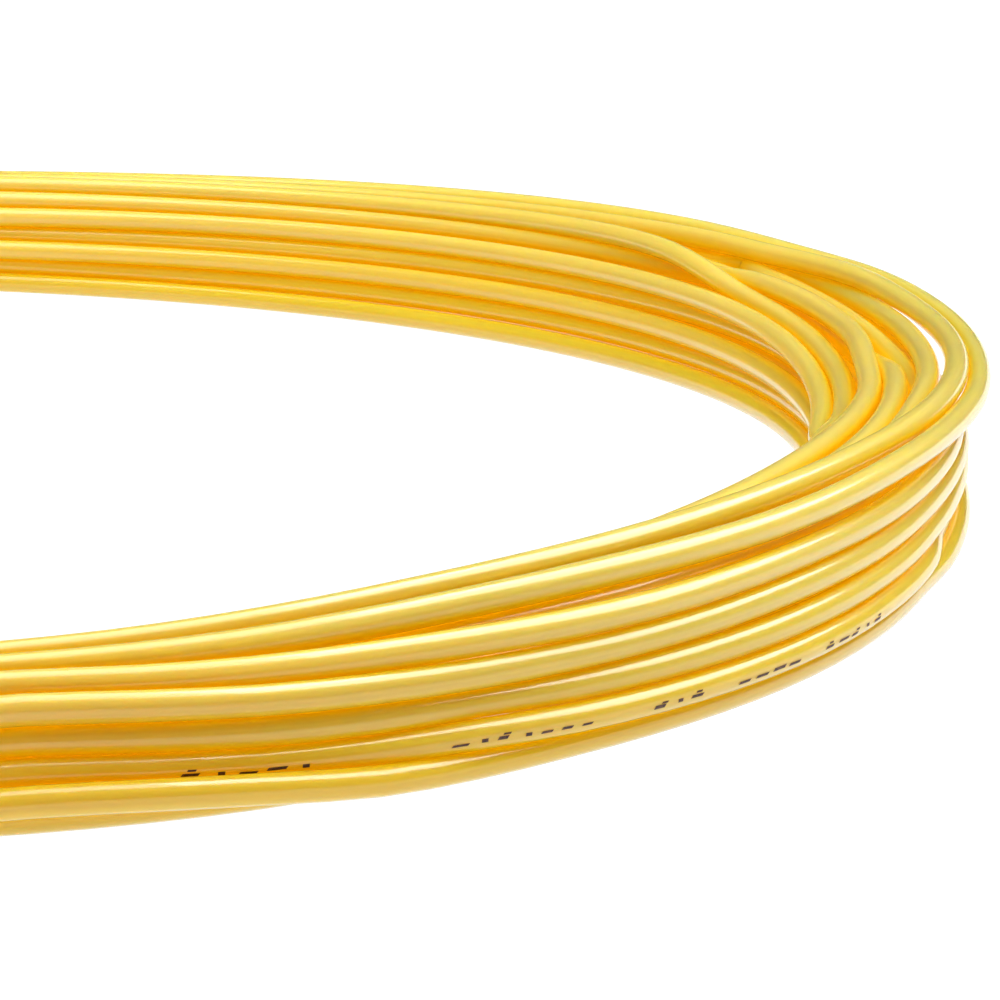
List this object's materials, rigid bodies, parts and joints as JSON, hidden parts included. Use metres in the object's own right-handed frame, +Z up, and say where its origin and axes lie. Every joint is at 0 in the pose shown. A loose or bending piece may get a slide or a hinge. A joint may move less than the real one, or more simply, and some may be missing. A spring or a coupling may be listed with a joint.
{
  "type": "coiled racket string set",
  "caption": "Translucent round string wound into a free flat coil, with two cut ends and twist ties holding the turns.",
  "frame": {"origin": "on the coil's axis, at the table the coil lies on", "axes": "+Z up along the coil's axis; +X and +Y in the plane of the coil, with the two ties on the -X half"},
  "size_m": [0.1308, 0.1386, 0.0155],
  "materials": {
    "string": "clear glossy golden filament",
    "print_ink": "thin worn marking ink",
    "tie_ribbon": "satin black film over a wire core",
    "tie_wire": "cut wire ends"
  },
  "bodies": {
    "root": {"string_coil": "string", "string_outer_end": "string", "string_inner_end": "string", "tie_back": "tie_ribbon", "tie_front": "tie_ribbon"}
  },
  "joints": []
}
